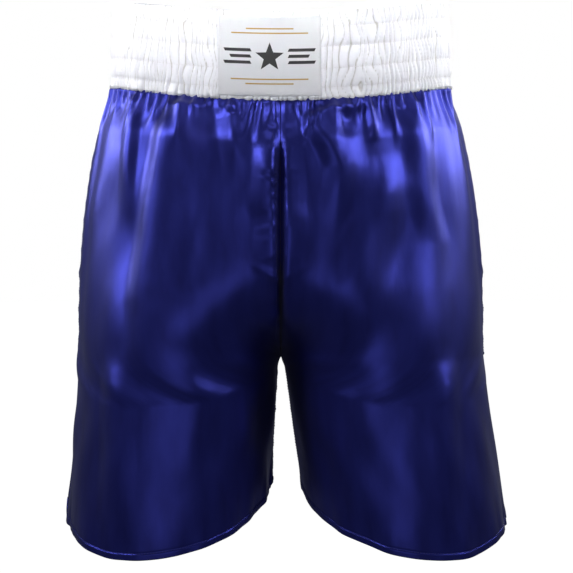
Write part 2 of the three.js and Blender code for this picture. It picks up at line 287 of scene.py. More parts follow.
foldForm = {"emerge": (85, 102), "emergesOver": 50, "fades": 0.62, "gatherEnds": (102, 152)}
backFolds = {"first": 12, "last": 15, "breadth": (8, 13), "tall": (5, 10), "ends": (190, 430), "drift": 0.12,
             "inward": -0.85, "spacing": (14, 21)}


def foldEnvelope(fold, drop):
    # how fully a fold stands at each drop: it rises, and fades over the last part of its length
    form = foldForm
    if "starts" in fold:
        a, b, begun = fold["starts"], fold["starts"] + form["emergesOver"], fold["starts"]
    else:
        a, b = form["emerge"]
        begun = b
    fading = form["fades"] * (fold["ends"] - begun)
    return smooth((drop / mm - a) / (b - a)) * (1 - smooth((drop / mm - (fold["ends"] - fading)) / fading))


def crestPlace(x, row, along):
    # how far along one row the crest at x lies, carried past the row's first point where it has to be
    if row[0] <= x:
        return np.interp(x, row, along)
    return along[0] - (row[0] - x)


def heightField(side, face, u, drop):
    # u and drop are grids [rows, cols]; the height stands out along the normal
    height = np.zeros_like(u)
    points = panelPoint(side, face, u, drop)
    along = lengthAlong(points)
    if face == "front":
        for fold in frontFolds:
            xs = through([(d * mm, x * mm) for d, x in fold["path"]], drop[:, 0])
            crests = [crestPlace(x * side, row, far) for x, row, far in zip(xs, points[..., 0] * side, along)]
            d = (along - np.array(crests)[:, None]) * side / mm
            flank = np.where(d < 0, 1 + d / fold["left"], 1 - d / fold["right"])
            height += fold["height"] * mm * smooth(flank) * foldEnvelope(fold, drop)
        return height, along, points
    form = backFolds
    r = np.random.default_rng(21 if side > 0 else 22)
    at, k = form["first"] * mm, 0
    total = along[:, -1].max()
    while at < total - form["last"] * mm:
        breadth = r.uniform(*form["breadth"])
        tall = r.uniform(*form["tall"]) * (1 if k % 2 == 0 else form["inward"])
        ends = r.uniform(*form["ends"])
        drift = r.uniform(-form["drift"], form["drift"])
        share = at / total + drift * smooth((drop[:, 0] - 0.1) / 0.3)
        d = (along - (share * along[:, -1])[:, None]) / (breadth * mm)
        height += tall * mm * np.exp(-d * d) * foldEnvelope({"ends": ends}, drop)
        at += r.uniform(*form["spacing"]) * mm
        k += 1
    return height, along, points


gatherForm = {"first": 4 * mm, "breadth": (2.6, 5.6), "tall": (2.6, 6.4), "lean": 9, "leanOver": 0.05,
              "spacing": (8, 15), "emergesFrom": 0.083, "emergesOver": 0.008, "fadesFrom": 0.094}


def gatherField(side, face, along, drop):
    # short fine puckers where the satin leaves the waistband
    form = gatherForm
    seed = {("front", 1): 31, ("front", -1): 32, ("back", 1): 33, ("back", -1): 34}[face, side]
    r = np.random.default_rng(seed)
    total = along[0, -1]
    height = np.zeros_like(along)
    at = form["first"]
    while at < total - form["first"]:
        breadth = r.uniform(*form["breadth"]) * mm
        tall = r.uniform(*form["tall"]) * mm
        ends = r.uniform(*foldForm["gatherEnds"]) * mm
        lean = r.uniform(-form["lean"], form["lean"]) * mm
        centre = at / total * along[:, -1] + lean * (drop[:, 0] - cut["bandHeight"]) / form["leanOver"]
        d = (along - centre[:, None]) / breadth
        risen = smooth((drop - form["emergesFrom"]) / form["emergesOver"])
        height += tall * np.exp(-d * d) * risen * (1 - smooth((drop - form["fadesFrom"]) / (ends - 0.090)))
        at += r.uniform(*form["spacing"]) * mm
    return height


seamForm = {"groove": 0.6 * mm, "grooveWidth": 1.2 * mm, "pucker": 0.9 * mm, "crumple": 2.0 * mm,
            "puckerPitch": 15 * mm, "puckerWidth": 8 * mm, "clear": 1.5 * mm, "first": 0.105, "last": 0.5}
hemForm = {"turn": 7 * mm, "step": 0.6 * mm, "wave": 2.6 * mm, "waveReach": 26 * mm, "groove": 0.35 * mm}
restless = {"height": 0.9 * mm, "onLegs": 1.5 * mm, "long": (55, 120), "short": (26, 60), "waves": 9}


def restlessField(side, face, along, drop):
    # the slight unevenness of cloth that has been worn and folded, stronger on the free legs
    form = restless
    seed = {("front", 1): 81, ("front", -1): 82, ("back", 1): 83, ("back", -1): 84}[face, side]
    r = np.random.default_rng(seed)
    height = np.zeros_like(along)
    for _ in range(form["waves"]):
        across = along / (r.uniform(*form["short"]) * mm)
        across = across + 0.6 * np.sin(drop / (r.uniform(40, 90) * mm) + r.uniform(0, 6))
        down = drop / (r.uniform(*form["long"]) * mm) + r.uniform(0, 1)
        wave = np.sin(math.pi * (across + r.choice([-1, 1]) * down) + r.uniform(0, 6))
        height += wave * r.uniform(0.5, 1)
    size = mix(form["height"], form["onLegs"], smooth((drop - 0.28) / 0.22))
    return height / math.sqrt(form["waves"]) * size * smooth((drop - 0.1) / 0.06)


def seamField(side, face, along, fromSide, drop):
    # a groove at each sewn edge, and small puckers that the thread draws up beside it
    form = seamForm
    r = np.random.default_rng(61 if face == "front" else 62)
    sewn = smooth((drop - 0.095) / 0.01)
    sideSewn = sewn * (1 - smooth((drop - vent["top"] + 4 * mm) / (8 * mm)))
    height = -form["groove"] * np.exp(-(along / form["grooveWidth"]) ** 2)
    height -= form["groove"] * np.exp(-(fromSide / form["grooveWidth"]) ** 2) * sideSewn
    at = form["first"]
    while at < form["last"]:
        # the cloth bunches where the legs part
        crumpled = float(smooth((at - 0.25) / 0.04) * smooth((0.375 - at) / 0.02))
        size = r.uniform(0.4, 1.0) * mix(form["pucker"], form["crumple"], crumpled)
        reach = r.uniform(0.7, 1.7) * form["puckerWidth"] * mix(1, 1.7, crumpled)
        tall = r.uniform(2.2, 4.2) * mix(1, 1.5, crumpled) * mm
        slant = r.uniform(-0.6, 0.6)
        for edge, mask in ((along, sewn * (0.35 if side > 0 else 1)), (fromSide, sideSewn * 0.7)):
            d = (drop - at - slant * edge) / tall
            # both edges of a seam keep one line, so that they are sewn
            clear = 1 - np.exp(-(edge / form["clear"]) ** 2)
            height += size * np.exp(-d * d) * np.exp(-((edge - 5 * mm) / reach) ** 2) * mask * clear
        at += r.uniform(0.6, 1.4) * form["puckerPitch"]
    return height


def hemField(side, face, u, drop):
    # the turned hem is thicker, and its edge is a little wavy
    form = hemForm
    above = hemDrop(u, face) - drop
    seed = {("front", 1): 71, ("front", -1): 72, ("back", 1): 73, ("back", -1): 74}[face, side]
    n = u.shape[1]
    waves = 0.6 * wander(seed, n, 13) + 0.4 * wander(seed + 10, n, 29)
    turned = smooth((form["turn"] + 0.6 * mm - above) / (1.2 * mm))
    groove = form["groove"] * np.exp(-((above - form["turn"]) / (1.0 * mm)) ** 2)
    wavy = form["wave"] * waves[None, :] * np.exp(-(above / form["waveReach"]) ** 2)
    return form["step"] * turned - groove + wavy


panelGrid = {"across": 205, "closerAtSeams": 0.5, "down": 178, "atGathers": 1.5, "between": 3.3, "atHem": 0.9}


def panelRows(count):
    # rows of the cloth from 0 to 1: closer at the gathers and at the hem
    form = panelGrid
    t = np.linspace(0, 1, 2001)
    length = (hem["lowest"] - cut["bandHeight"] + cut["tuck"]) / mm
    spacing = mix(form["atGathers"], form["between"], smooth((t * length - 30) / 60))
    spacing = mix(spacing, form["atHem"], smooth((t * length - length + 34) / 26))
    rows = np.concatenate([[0], np.cumsum(1 / (spacing[:-1] + spacing[1:]))])
    return np.interp(np.linspace(0, rows[-1], count), rows, t)


def clothGrid(side, face, across, down):
    t = np.linspace(0, 1, across)
    closer = panelGrid["closerAtSeams"] * np.sin(2 * math.pi * t) / (2 * math.pi)
    u, v = np.meshgrid(t - closer, panelRows(down))
    top = cut["bandHeight"] - cut["tuck"]
    drop = mix(top, hemDrop(u, face), v)
    height, along, points = heightField(side, face, u, drop)
    height += gatherField(side, face, along, drop) + restlessField(side, face, along, drop)
    # the height dies away at the seams so that panels meet
    fromSide = along[:, -1:] - along
    edge = 1 - np.exp(-(along / (5 * mm)) ** 2)
    inner = mix(1, smooth(along / (25 * mm)), smooth((drop - crotch["drop"] + 60 * mm) / (60 * mm)))
    outer = smooth(fromSide / (22 * mm))
    height *= edge * inner * outer
    height += seamField(side, face, along, fromSide, drop)
    height += hemField(side, face, u, drop)
    made = points + outwardNormals(points, face) * height[..., None]
    # the sewn edges stay in their seams
    sewn = drop[:, 0] < crotch["drop"]
    made[sewn, 0, 0] = points[sewn, 0, 0]
    sewn = drop[:, -1] < vent["top"]
    made[sewn, -1, 1] = points[sewn, -1, 1]
    return made, u, drop


def makePanel(side, face, points, drop):
    name = f"{face}_{sideNames[side]}_satin_panel"
    faces = gridFaces(*points.shape[:2])
    if side * (1 if face == "front" else -1) < 0:
        faces = faces[:, ::-1]
    obj = newMesh(name, points, faces)
    unwrap(obj, np.stack([lengthAlong(points), -drop], -1))
    giveThickness(obj, "cloth", 0.6 * mm)
    applyModifiers(obj)
    return obj


# materials

def nodeMaterial(name):
    material = bpy.data.materials.new(name)
    material.use_nodes = True
    nodes, links = material.node_tree.nodes, material.node_tree.links
    return material, nodes, links, nodes["Principled BSDF"]


def newGroup(name, inputs, outputs):
    group = bpy.data.node_groups.new(name, "ShaderNodeTree")
    for socketName, kind, value in inputs:
        socket = group.interface.new_socket(socketName, in_out="INPUT", socket_type=kind)
        if value is not None:
            socket.default_value = value
    for socketName, kind in outputs:
        group.interface.new_socket(socketName, in_out="OUTPUT", socket_type=kind)
    ends = [group.nodes.new(kind) for kind in ("NodeGroupInput", "NodeGroupOutput")]
    return group, group.nodes, group.links, *ends


def weaveGroup():
    # crossed threads: a height and a mask, from any flat coordinate in metres
    group, nodes, links, given, made = newGroup(
        "woven_threads",
        [("Coordinate", "NodeSocketVector", None), ("Threads per metre", "NodeSocketFloat", 2600),
         ("Float length", "NodeSocketFloat", 4)],
        [("Height", "NodeSocketFloat"), ("Mask", "NodeSocketFloat")])
    scaled = nodes.new("ShaderNodeVectorMath")
    scaled.operation = "SCALE"
    links.new(given.outputs["Coordinate"], scaled.inputs[0])
    links.new(given.outputs["Threads per metre"], scaled.inputs["Scale"])
    split = nodes.new("ShaderNodeSeparateXYZ")
    links.new(scaled.outputs["Vector"], split.inputs["Vector"])

    def sine(source, times):
        angle = nodes.new("ShaderNodeMath")
        angle.operation = "MULTIPLY"
        links.new(source, angle.inputs[0])
        angle.inputs[1].default_value = times
        wave = nodes.new("ShaderNodeMath")
        wave.operation = "SINE"
        links.new(angle.outputs[0], wave.inputs[0])
        return wave.outputs[0]

    across = sine(split.outputs["X"], 2 * math.pi)
    shorter = nodes.new("ShaderNodeMath")
    shorter.operation = "DIVIDE"
    links.new(split.outputs["Y"], shorter.inputs[0])
    links.new(given.outputs["Float length"], shorter.inputs[1])
    down = sine(shorter.outputs[0], 2 * math.pi)
    blendNode = nodes.new("ShaderNodeMath")
    blendNode.operation = "MULTIPLY_ADD"
    links.new(down, blendNode.inputs[0])
    blendNode.inputs[1].default_value = 0.45
    links.new(across, blendNode.inputs[2])
    links.new(blendNode.outputs[0], made.inputs["Height"])
    mask = nodes.new("ShaderNodeMapRange")
    links.new(blendNode.outputs[0], mask.inputs["Value"])
    mask.inputs["From Min"].default_value = -1.4
    mask.inputs["From Max"].default_value = 1.4
    links.new(mask.outputs["Result"], made.inputs["Mask"])
    return group


def cloudGroup():
    # slow uneven patches from 0 to 1, stretched along the cloth's length
    group, nodes, links, given, made = newGroup(
        "cloth_cloud",
        [("Coordinate", "NodeSocketVector", None), ("Scale", "NodeSocketFloat", 40),
         ("Stretch", "NodeSocketFloat", 0.35)],
        [("Cloud", "NodeSocketFloat")])
    stretch = nodes.new("ShaderNodeCombineXYZ")
    stretch.inputs["X"].default_value = 1
    stretch.inputs["Z"].default_value = 1
    links.new(given.outputs["Stretch"], stretch.inputs["Y"])
    drawn = nodes.new("ShaderNodeVectorMath")
    drawn.operation = "MULTIPLY"
    links.new(given.outputs["Coordinate"], drawn.inputs[0])
    links.new(stretch.outputs["Vector"], drawn.inputs[1])
    noise = nodes.new("ShaderNodeTexNoise")
    noise.inputs["Detail"].default_value = 3
    links.new(drawn.outputs["Vector"], noise.inputs["Vector"])
    links.new(given.outputs["Scale"], noise.inputs["Scale"])
    links.new(noise.outputs["Fac"], made.inputs["Cloud"])
    return group


weave, cloud = weaveGroup(), cloudGroup()


def placeGroup(nodes, group, **values):
    node = nodes.new("ShaderNodeGroup")
    node.node_tree = group
    for key, value in values.items():
        node.inputs[key.replace("_", " ")].default_value = value
    return node


def twoTone(nodes, links, mask, first, second, span=(0, 1)):
    ramp = nodes.new("ShaderNodeMapRange")
    ramp.inputs["From Min"].default_value, ramp.inputs["From Max"].default_value = span
    links.new(mask, ramp.inputs["Value"])
    tone = nodes.new("ShaderNodeMix")
    tone.data_type = "RGBA"
    links.new(ramp.outputs["Result"], tone.inputs["Factor"])
    tone.inputs["A"].default_value = (*first, 1)
    tone.inputs["B"].default_value = (*second, 1)
    return tone.outputs["Result"]


def bumpFrom(nodes, links, height, strength, distance, below=None):
    bump = nodes.new("ShaderNodeBump")
    bump.inputs["Strength"].default_value = strength
    bump.inputs["Distance"].default_value = distance
    links.new(height, bump.inputs["Height"])
    if below is not None:
        links.new(below, bump.inputs["Normal"])
    return bump.outputs["Normal"]


def satinMaterial():
    look = {"deep": (0.016, 0.019, 0.18), "bright": (0.032, 0.040, 0.33), "metallic": 0.85,
            "roughness": (0.32, 0.40), "anisotropic": 0.35, "sheen": 0.08}
    material, nodes, links, shader = nodeMaterial("royal_satin")
    uv = nodes.new("ShaderNodeUVMap")
    uv.uv_map = "cloth"
    threads = placeGroup(nodes, weave, Threads_per_metre=2400, Float_length=5)
    patches = placeGroup(nodes, cloud, Scale=60, Stretch=0.3)
    ripples = placeGroup(nodes, cloud, Scale=210, Stretch=0.25)
    for node in (threads, patches, ripples):
        links.new(uv.outputs["UV"], node.inputs["Coordinate"])
    blue = twoTone(nodes, links, patches.outputs["Cloud"], look["deep"], look["bright"], (0.1, 0.9))
    links.new(blue, shader.inputs["Base Color"])
    rough = nodes.new("ShaderNodeMapRange")
    links.new(threads.outputs["Mask"], rough.inputs["Value"])
    rough.inputs["To Min"].default_value, rough.inputs["To Max"].default_value = look["roughness"]
    links.new(rough.outputs["Result"], shader.inputs["Roughness"])
    waves = bumpFrom(nodes, links, ripples.outputs["Cloud"], 0.12, 0.8 * mm)
    woven = bumpFrom(nodes, links, threads.outputs["Height"], 0.12, 0.06 * mm, waves)
    links.new(woven, shader.inputs["Normal"])
    shader.inputs["Metallic"].default_value = look["metallic"]
    shader.inputs["Anisotropic"].default_value = look["anisotropic"]
    shader.inputs["Sheen Weight"].default_value = look["sheen"]
    return material


def bandMaterial():
    # painted shade: the white is mixed down to beige-grey where the stored crease value is low, so the
    # creases of the shirring carry shade in their colour
    look = {"creaseShade": (0.44, 0.42, 0.39), "ridge": (0.90, 0.91, 0.955), "roughness": 0.42}
    material, nodes, links, shader = nodeMaterial("white_satin")
    depth = nodes.new("ShaderNodeAttribute")
    depth.attribute_name = "creaseShade"
    white = twoTone(nodes, links, depth.outputs["Fac"], look["creaseShade"], look["ridge"], (0.0, 0.45))
    links.new(white, shader.inputs["Base Color"])
    place = nodes.new("ShaderNodeTexCoord")
    uv = nodes.new("ShaderNodeUVMap")
    uv.uv_map = "cloth"
    threads = placeGroup(nodes, weave, Threads_per_metre=2400, Float_length=5)
    links.new(uv.outputs["UV"], threads.inputs["Coordinate"])
    wrinkles = placeGroup(nodes, cloud, Scale=520, Stretch=1)
    links.new(place.outputs["Object"], wrinkles.inputs["Coordinate"])
    soft = bumpFrom(nodes, links, wrinkles.outputs["Cloud"], 0.5, 0.5 * mm)
    woven = bumpFrom(nodes, links, threads.outputs["Height"], 0.1, 0.05 * mm, soft)
    links.new(woven, shader.inputs["Normal"])
    shader.inputs["Roughness"].default_value = look["roughness"]
    shader.inputs["Sheen Weight"].default_value = 0.15
    return material


def threadMaterial(name, colour):
    material, nodes, links, shader = nodeMaterial(name)
    place = nodes.new("ShaderNodeTexCoord")
    twist = placeGroup(nodes, cloud, Scale=1800, Stretch=1)
    links.new(place.outputs["Object"], twist.inputs["Coordinate"])
    darker = tuple(0.7 * c for c in colour)
    tone = twoTone(nodes, links, twist.outputs["Cloud"], darker, colour, (0.3, 0.7))
    links.new(tone, shader.inputs["Base Color"])
    links.new(bumpFrom(nodes, links, twist.outputs["Cloud"], 0.4, 0.2 * mm), shader.inputs["Normal"])
    shader.inputs["Roughness"].default_value = 0.5
    shader.inputs["Sheen Weight"].default_value = 0.2
    return material


def wovenMaterial(name, colour, shade, threadsPerMetre, roughness=0.62):
    material, nodes, links, shader = nodeMaterial(name)
    place = nodes.new("ShaderNodeTexCoord")
    flat = nodes.new("ShaderNodeMapping")
    # the label stands upright, so its weave reads X and Z
    flat.inputs["Rotation"].default_value = (math.pi / 2, 0, 0)
    links.new(place.outputs["Object"], flat.inputs["Vector"])
    threads = placeGroup(nodes, weave, Threads_per_metre=threadsPerMetre, Float_length=1)
    links.new(flat.outputs["Vector"], threads.inputs["Coordinate"])
    links.new(twoTone(nodes, links, threads.outputs["Mask"], shade, colour), shader.inputs["Base Color"])
    links.new(bumpFrom(nodes, links, threads.outputs["Height"], 0.5, 0.12 * mm), shader.inputs["Normal"])
    shader.inputs["Roughness"].default_value = roughness
    shader.inputs["Sheen Weight"].default_value = 0.2
    return material


satin = satinMaterial()
bandSatin = bandMaterial()
whiteThread = threadMaterial("white_thread", (0.88, 0.88, 0.90))
blueThread = threadMaterial("blue_thread", (0.02, 0.025, 0.26))
labelCloth = wovenMaterial("label_taffeta", (0.86, 0.87, 0.90), (0.66, 0.67, 0.70), 1900)
blackYarn = wovenMaterial("label_black_yarn", (0.012, 0.012, 0.014), (0.004, 0.004, 0.005), 1900, 0.5)
goldYarn = wovenMaterial("label_gold_yarn", (0.62, 0.40, 0.10), (0.36, 0.22, 0.05), 1900, 0.4)
ribbonCloth = wovenMaterial("care_label_ribbon", (0.84, 0.84, 0.82), (0.66, 0.66, 0.64), 2600)
elasticKnit = wovenMaterial("elastic_knit", (0.80, 0.78, 0.72), (0.55, 0.53, 0.48), 700, 0.8)


# stitches: one is modelled, then copied along a seam

stitchForm = {"length": 2.3 * mm, "radius": 0.28 * mm, "pitch": 3.0 * mm, "sink": 0.05 * mm}


def oneStitch(length, radius):
    bpy.ops.object.select_all(action="DESELECT")
    bpy.ops.mesh.primitive_uv_sphere_add(segments=6, ring_count=5, radius=1)
    obj = bpy.context.object
    bpy.ops.object.mode_set(mode="EDIT")
    bpy.ops.mesh.select_all(action="SELECT")
    bpy.ops.transform.resize(value=(radius, radius, length / 2))
    bpy.ops.object.mode_set(mode="OBJECT")
    verts = np.array([v.co for v in obj.data.vertices])
    faces = [list(p.vertices) for p in obj.data.polygons]
    bpy.data.objects.remove(obj, do_unlink=True)
    return verts, faces


def sewAlong(name, path, outward, material, closed=False, form=stitchForm):
    # path and outward are points and directions along a seam
    path, outward = np.asarray(path), np.asarray(outward)
    if closed:
        path, outward = np.vstack([path, path[:1]]), np.vstack([outward, outward[:1]])
    far = np.concatenate([[0], np.cumsum(np.linalg.norm(np.diff(path, axis=0), axis=1))])
    count = max(int(far[-1] / form["pitch"]), 2)
    at = (np.arange(count) + 0.5) * far[-1] / count
    place = np.stack([np.interp(at, far, path[:, k]) for k in range(3)], -1)
    ahead = np.stack([np.interp(at + form["pitch"] / 3, far, path[:, k]) for k in range(3)], -1)
    behind = np.stack([np.interp(at - form["pitch"] / 3, far, path[:, k]) for k in range(3)], -1)
    n = np.stack([np.interp(at, far, outward[:, k]) for k in range(3)], -1)
    t = ahead - behind
    t /= np.linalg.norm(t, axis=1, keepdims=True)
    n -= t * (n * t).sum(1, keepdims=True)
    n /= np.linalg.norm(n, axis=1, keepdims=True)
    b = np.cross(n, t)
    verts, faces = oneStitch(form["length"], form["radius"])
    lift = form["radius"] - form["sink"]
    points = (place + n * lift)[:, None, :] + verts[None, :, 0:1] * b[:, None, :] \
        + verts[None, :, 1:2] * n[:, None, :] + verts[None, :, 2:3] * t[:, None, :]
    allFaces = [[i + k * len(verts) for i in f] for k in range(count) for f in faces]
    obj = newMesh(name, points, allFaces)
    putMaterial(obj, material)
    return obj


# waistband: a folded strip shirred over four rows of elastic

labelForm = {"width": 104 * mm, "height": 80 * mm, "drop": 4.5 * mm, "offCentre": -11 * mm, "lift": 1.9 * mm,
             "thickness": 0.7 * mm}
bandForm = {"columns": 1320, "puckers": 172, "outerRows": 8, "lastRows": 5, "innerRows": 13,
            "cut": (1.15, 0.192), "ridge": 2.9 * mm, "pinched": 0.38, "bulge": 0.35 * mm, "wall": 0.8 * mm}


def puckerField(angles, drops):
    # how far each point of the cover stands out, and how deep in a crease it is, on a grid [drops, angles];
    # the crease value also paints shade into the band's colour
    n = len(angles)
    turn = angles / (2 * math.pi)
    rows = np.array(channelDrops + [cut["bandHeight"] + 6 * mm])
    base = bandForm["puckers"] * turn + 0.9 * wander(41, n, 47) + 0.45 * wander(42, n, 131)
    shifts = [0.62 * wander(50 + k, n, 64) + 0.30 * wander(70 + k, n, 150) for k in range(len(rows))]
    sizes = [0.72 + 0.38 * wander(90 + k, n, 90) for k in range(len(rows))]
    height, creaseShade = [], []
    for drop in drops:
        k = int(np.clip(np.searchsorted(rows, drop, side="right") - 1, 0, len(rows) - 2))
        t = (drop - rows[k]) / (rows[k + 1] - rows[k])
        between = 0.25 * np.sin(math.pi * t)
        phase = base + mix(shifts[k], shifts[k + 1], smooth(t)) + between * wander(110 + k, n, 120)
        size = mix(sizes[k], sizes[k + 1], t) + between * wander(130 + k, n, 80)
        ridge = np.abs(np.sin(math.pi * phase)) ** 0.75
        free = 0.6 if k == 0 and t < 0.5 else 0.0
        swell = max(np.sin(math.pi * min(t, 1)) ** 0.6, free)
        envelope = mix(bandForm["pinched"], 1, swell)
        height.append(bandForm["ridge"] * size * ridge * envelope + bandForm["bulge"] * swell)
        # low in the creases and high on the ridges; besides shaping the edges, it sets the painted shade in
        # the creases
        creaseShade.append(np.clip(ridge * mix(0.75, 1, swell), 0, 1))
    return np.array(height), np.array(creaseShade)


def underLabel(angles, drops):
    # 1 where the label holds the shirring flat
    x = bandEnd["x"] * np.cos(angles)
    left = labelForm["offCentre"] - labelForm["width"] / 2
    right = left + labelForm["width"]
    inside = smooth((x - left + 2 * mm) / (5 * mm)) * smooth((right + 2 * mm - x) / (5 * mm))
    inside = inside * (np.sin(angles) < 0)
    low = smooth((labelForm["drop"] + labelForm["height"] + 1 * mm - drops) / (3 * mm))
    return inside[None, :] * low[:, None]


bandAngles = np.arange(bandForm["columns"]) / bandForm["columns"] * 2 * math.pi
outerDrops = []
for k in range(4):
    t = np.linspace(0, 1, bandForm["outerRows"], endpoint=False)
    outerDrops += list(mix(channelDrops[k], channelDrops[k + 1], (1 - np.cos(math.pi * t)) / 2))
outerDrops += list(np.linspace(channelDrops[4], cut["bandHeight"], bandForm["lastRows"]))
outerDrops = np.array(outerDrops)
outerHeight, outerCrease = puckerField(bandAngles, outerDrops)
flatten = underLabel(bandAngles, outerDrops)
outerHeight = outerHeight * (1 - 0.9 * flatten) - 0.4 * mm


def bandOffset(drop):
    # the cover's standing-out all round at one drop
    return np.array([np.interp(drop, outerDrops, outerHeight[:, i]) for i in range(bandForm["columns"])])


def makeWaistband():
    form = bandForm
    ring = []
    shade = []
    scallop = 0.9 * mm * (outerCrease[0] - 0.5)
    for drop, height, creaseShade in zip(outerDrops, outerHeight, outerCrease):
        last = smooth((drop - channelDrops[4]) / (cut["bandHeight"] - channelDrops[4]))
        edge = 1.6 * mm * last * (outerCrease[-1] - 0.55)
        points = bandPoint(bandAngles, drop, height)
        points[:, 2] -= edge
        if drop < 2 * mm:
            points[:, 2] += scallop
        ring.append(points)
        shade.append(creaseShade)
    outer = list(zip(ring, shade))
    # the inner side, from its lower edge up to the fold at the top
    inner = []
    innerDrops = np.linspace(cut["bandHeight"], 0.6 * mm, form["innerRows"])
    innerHeight, innerCrease = puckerField(bandAngles, innerDrops)
    for drop, height, creaseShade in zip(innerDrops, innerHeight, innerCrease):
        fold = smooth(drop / (5 * mm))
        inward = cut["bandThickness"] + 0.7 * height * fold - 0.8 * mm * (1 - fold)
        points = bandPoint(bandAngles, drop, -inward)
        points[:, 2] += scallop * (1 - fold)
        inner.append((points, creaseShade))
    crown = []
    for lift, offset in ((0.9, -3.4), (1.3, -2.2), (0.9, -1.0)):
        points = bandPoint(bandAngles, 0, offset * mm + 0.3 * outerHeight[0])
        points[:, 2] += lift * mm + scallop
        crown.append((points, outerCrease[0]))
    # walls of the cloth at the open lower edge
    wall = form["wall"]
    low = cut["bandHeight"]
    lining = [(bandPoint(bandAngles, d, wall - cut["bandThickness"]), innerCrease[0]) for d in (wall, low)]
    hidden = [(bandPoint(bandAngles, d, -1.3 * mm), outerCrease[-1]) for d in (low, wall)]
    sweep = outer + hidden + lining + inner + crown
    points = np.array([p for p, _ in sweep])
    faces = gridFaces(len(sweep) + 1, form["columns"], loop=True)
    faces = faces % (len(sweep) * form["columns"])
    obj = newMesh("waistband_shirred_cover", points, faces[:, ::-1])
    # the crease value is stored on each point, and the band's material turns it into painted shade in the
    # creases
    creaseShade = obj.data.attributes.new("creaseShade", "FLOAT", "POINT")
    creaseShade.data.foreach_set("value", np.array([c for _, c in sweep], np.float32).ravel())
    girth = bandAngles / (2 * math.pi) * 0.95
    down = np.concatenate([[0], np.cumsum(np.linalg.norm(np.diff(points, axis=0), axis=-1).mean(1))])
    unwrap(obj, np.stack(np.broadcast_arrays(girth[None, :], down[:, None]), -1))
    putMaterial(obj, bandSatin)
    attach(obj, "shorts")
    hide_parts("waistband_cover")


def makeBandStitching():
    outward = np.stack([np.cos(bandAngles), np.sin(bandAngles), 0 * bandAngles], -1)
    for k, drop in enumerate(channelDrops[1:] + [cut["bandHeight"] - 2 * mm]):
        path = bandPoint(bandAngles, drop, bandOffset(drop))
        name = f"waistband_stitches_{k + 1}" if k < 4 else "waist_seam_stitches"
        obj = sewAlong(name, path, outward, whiteThread, closed=True)
        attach(obj, "shorts")
        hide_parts(f"waistband_stitch_row_{k + 1}" if k < 4 else "waist_seam_stitching")


# front label: woven, stitched on over the shirring, with a plain star and bars

def labelPoint(x, drop, lift):
    base = bandEnd["x"] + lift
    angle = -np.arccos(np.clip(x / base, -1, 1))
    return bandPoint(angle, drop, lift)


def makeLabel():
    form = labelForm
    left = form["offCentre"] - form["width"] / 2
    u, v = np.meshgrid(np.linspace(0, 1, 90), np.linspace(0, 1, 64))
    x = left + u * form["width"]
    drop = form["drop"] + v * form["height"]
    border = np.minimum(np.minimum(u, 1 - u) * form["width"], np.minimum(v, 1 - v) * form["height"])
    groove = -0.35 * mm * np.exp(-((border - 2.2 * mm) / (0.8 * mm)) ** 2)
    pull = 0.22 * mm * np.sin(u * 61) * np.exp(-(border / (9 * mm)) ** 2)
    swell = 0.5 * mm * np.sin(v * 4 * math.pi + 0.6 * np.sin(u * 9)) * 0.4
    edge = -0.8 * mm * np.exp(-(border / (0.9 * mm)) ** 2)
    drop = drop + 0.25 * mm * np.sin(u * 37) * np.exp(-border / (1.2 * mm))
    points = labelPoint(x, drop, form["lift"] + groove + pull + swell + edge)
    obj = newMesh("front_label_cloth", points, gridFaces(*u.shape))
    giveThickness(obj, "cloth", form["thickness"])
    applyModifiers(obj)
    putMaterial(obj, labelCloth)
    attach(obj, "shorts")
    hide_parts("front_label")


def labelLift(x, drop):
    form = labelForm
    u = (x - form["offCentre"] + form["width"] / 2) / form["width"]
    v = (drop - form["drop"]) / form["height"]
    return form["lift"] + 0.2 * mm * np.sin(v * 4 * math.pi + 0.6 * np.sin(u * 9))


def wrapOnLabel(obj, raised):
    # a flat shape modelled in X and Z about the label's middle is laid on the curved label
    form = labelForm
    middle = form["drop"] + form["height"] / 2
    for vert in obj.data.vertices:
        x, drop = form["offCentre"] + vert.co.x, middle - vert.co.z
        height = labelLift(x, drop) + (raised if vert.co.y < 0 else -0.2 * mm)
        vert.co = Vector(labelPoint(x, drop, height))
    obj.data.update()


def flatShape(name, outline, divide=1.5 * mm):
    # an outline in X and Z becomes a thin block, cut into strips so that it can follow the label
    bpy.ops.mesh.primitive_circle_add(vertices=len(outline), fill_type="NGON")
    obj = bpy.context.object
    obj.name = name
    for vert, (x, z) in zip(obj.data.vertices, outline):
        vert.co = Vector((x, -0.5 * mm, z))
    bpy.ops.object.mode_set(mode="EDIT")
    lo, hi = min(x for x, _ in outline), max(x for x, _ in outline)
    for x in np.arange(lo + divide, hi, divide * 2.5):
        bpy.ops.mesh.select_all(action="SELECT")
        bpy.ops.mesh.bisect(plane_co=(x, 0, 0), plane_no=(1, 0, 0))
    bpy.ops.mesh.select_all(action="SELECT")
    bpy.ops.mesh.extrude_region_move(TRANSFORM_OT_translate={"value": (0, 1.0 * mm, 0)})
    bpy.ops.mesh.select_all(action="SELECT")
    bpy.ops.mesh.normals_make_consistent(inside=False)
    bpy.ops.object.mode_set(mode="OBJECT")
    return obj


emblem = {"star": (15 * mm, 6.2 * mm), "starDrop": -1 * mm, "barLengths": (27, 21, 27), "barPitch": 6.2 * mm,
          "barHeight": 3.1 * mm, "barGap": 19 * mm, "barLean": 0.8 * mm, "ruleWidth": 1.3 * mm,
          "ruleLength": 78 * mm, "ruleFromMiddle": (23 * mm, 27.5 * mm), "raised": 0.22 * mm}


